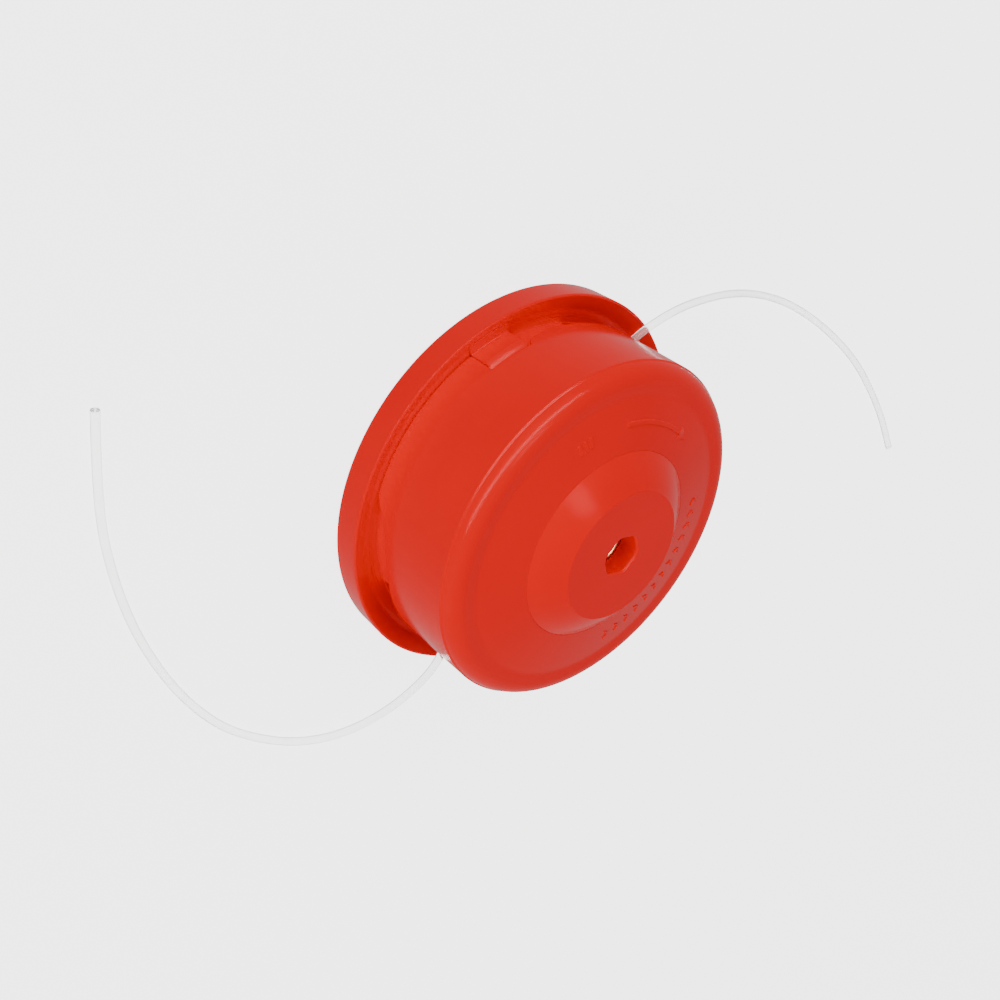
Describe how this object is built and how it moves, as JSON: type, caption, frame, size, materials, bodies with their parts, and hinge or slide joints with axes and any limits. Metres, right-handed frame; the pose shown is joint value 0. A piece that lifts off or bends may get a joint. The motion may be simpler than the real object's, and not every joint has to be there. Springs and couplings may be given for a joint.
{
  "type": "string trimmer head",
  "caption": "Round tap-feed cutting head for a string trimmer: flanged housing, clipped cup with push tabs, spring-loaded spool and bump knob, with free ends of cutting line.",
  "frame": {"origin": "centre of the flange's flat back, on the spin axis", "axes": "+Z along the spin axis, from the gearbox side towards the bump knob; the latch tabs lie on -Y and +Y"},
  "size_m": [0.3013, 0.2193, 0.0531],
  "materials": {
    "red_shell": "gloss",
    "black_nylon": "satin",
    "clear_line": "gloss",
    "steel": "zinc plated",
    "spring_steel": "bare",
    "brass": "turned"
  },
  "bodies": {
    "housing": {"upper_housing": "red_shell", "drive_arbor": "steel", "spring_washer": "steel", "feed_spring": "spring_steel", "line_end_a": "clear_line", "line_end_b": "clear_line"},
    "tab_a": {"latch_tab_a": "red_shell"},
    "tab_b": {"latch_tab_b": "red_shell"},
    "cover": {"cup": "red_shell"},
    "bush": {"bearing_bush": "brass"},
    "reel": {"spool": "black_nylon", "winding_lower": "clear_line", "winding_upper": "clear_line", "bump_knob": "red_shell"}
  },
  "joints": [
    {"name": "push_tab_a", "type": "hinge", "parent": "housing", "child": "tab_a", "pos_m": [0, -0.0542, 0.0039], "axis": [-1, 0, 0], "range_deg": [0, 5], "stiffness_Nm_per_rad": 2},
    {"name": "push_tab_b", "type": "hinge", "parent": "housing", "child": "tab_b", "pos_m": [0, 0.0542, 0.0039], "axis": [1, 0, 0], "range_deg": [0, 5], "stiffness_Nm_per_rad": 2},
    {"name": "cup_lift", "type": "slide", "parent": "housing", "child": "cover", "axis": [0, 0, 1], "range_m": [0, 0.048]},
    {"name": "bump_press", "type": "slide", "parent": "housing", "child": "bush", "axis": [0, 0, -1], "range_m": [0, 0.004], "stiffness_N_per_m": 1500, "springref_m": -0.004, "deforming": ["feed_spring"]},
    {"name": "spool_turn", "type": "hinge", "parent": "bush", "child": "reel", "pos_m": [0, 0, 0.038], "axis": [0, 0, 1], "range_deg": [-15, 15]}
  ]
}
